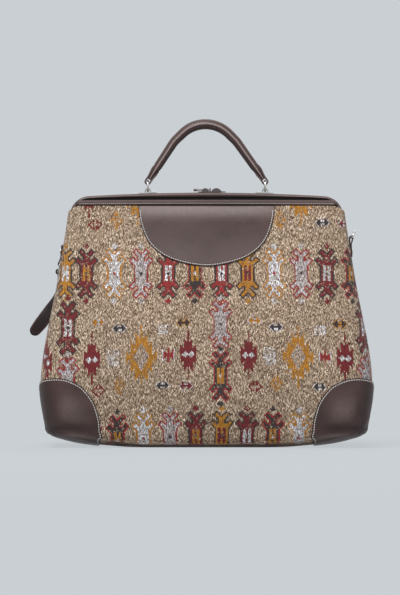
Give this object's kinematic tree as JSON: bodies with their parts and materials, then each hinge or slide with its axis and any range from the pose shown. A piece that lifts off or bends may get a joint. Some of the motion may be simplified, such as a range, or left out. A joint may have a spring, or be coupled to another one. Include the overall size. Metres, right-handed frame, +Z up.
{
  "type": "frame-top carpet bag",
  "caption": "Wide frame-top travel bag in patterned cloth with leather corners and facing, a hinged two-half frame, a rolled handle, a slide lock and end rings.",
  "frame": {"origin": "middle of the flat base, on the floor", "axes": "+X along the frame to the right as seen from the front, -Y to the front, +Z up"},
  "size_m": [0.4642, 0.2068, 0.4456],
  "materials": {
    "cloth": "matte",
    "leather": "satin",
    "board": "matte",
    "cord": "matte",
    "steel": "satin",
    "nickel": "polished"
  },
  "bodies": {
    "bag": {"front_panel": "cloth", "back_panel": "cloth", "left_gusset": "cloth", "right_gusset": "cloth", "base_panel": "cloth", "base_board": "board", "front_yoke": "leather", "back_yoke": "leather", "front_left_corner": "leather", "front_right_corner": "leather", "back_left_corner": "leather", "back_right_corner": "leather", "left_ring_tab": "leather", "right_ring_tab": "leather", "left_tab_rivet": "nickel", "right_tab_rivet": "nickel"},
    "front_frame": {"front_bow": "steel", "front_cover": "leather", "front_welt": "leather", "left_handle_plate": "nickel", "right_handle_plate": "nickel", "left_inner_plate_rivet": "nickel", "left_outer_plate_rivet": "nickel", "right_inner_plate_rivet": "nickel", "right_outer_plate_rivet": "nickel", "lock_plate": "nickel", "left_lock_rivet": "nickel", "right_lock_rivet": "nickel"},
    "rear_frame": {"rear_bow": "steel", "rear_cover": "leather", "rear_welt": "leather", "lock_hasp": "nickel", "left_hasp_rivet": "nickel", "right_hasp_rivet": "nickel", "left_hinge_rivet": "steel", "right_hinge_rivet": "steel"},
    "handle": {"handle_grip": "leather", "handle_cord": "cord", "left_handle_ring": "nickel", "right_handle_ring": "nickel"},
    "lock_slide": {"lock_pin": "nickel"},
    "left_ring": {"left_end_ring": "nickel", "hang_strap": "leather"},
    "right_ring": {"right_end_ring": "nickel"}
  },
  "joints": [
    {"name": "front_open", "type": "hinge", "parent": "bag", "child": "front_frame", "pos_m": [0, 0, 0.258], "axis": [1, 0, 0], "range_deg": [0, 60], "deforming": ["front_panel", "front_yoke", "left_gusset", "right_gusset"]},
    {"name": "rear_open", "type": "hinge", "parent": "bag", "child": "rear_frame", "pos_m": [0, 0, 0.258], "axis": [-1, 0, 0], "range_deg": [0, 60], "deforming": ["back_panel", "back_yoke", "left_gusset", "right_gusset"]},
    {"name": "handle_swing", "type": "hinge", "parent": "front_frame", "child": "handle", "pos_m": [0, -0.0055, 0.35491], "axis": [1, 0, 0], "range_deg": [-85, 85]},
    {"name": "lock_travel", "type": "slide", "parent": "front_frame", "child": "lock_slide", "axis": [1, 0, 0], "range_m": [0, 0.006]},
    {"name": "left_ring_swing", "type": "hinge", "parent": "bag", "child": "left_ring", "pos_m": [-0.20039, 0, 0.24827], "axis": [0, 1, 0], "range_deg": [0, 60]},
    {"name": "right_ring_swing", "type": "hinge", "parent": "bag", "child": "right_ring", "pos_m": [0.19814, 0, 0.2842], "axis": [0, 1, 0], "range_deg": [0, 125]}
  ]
}
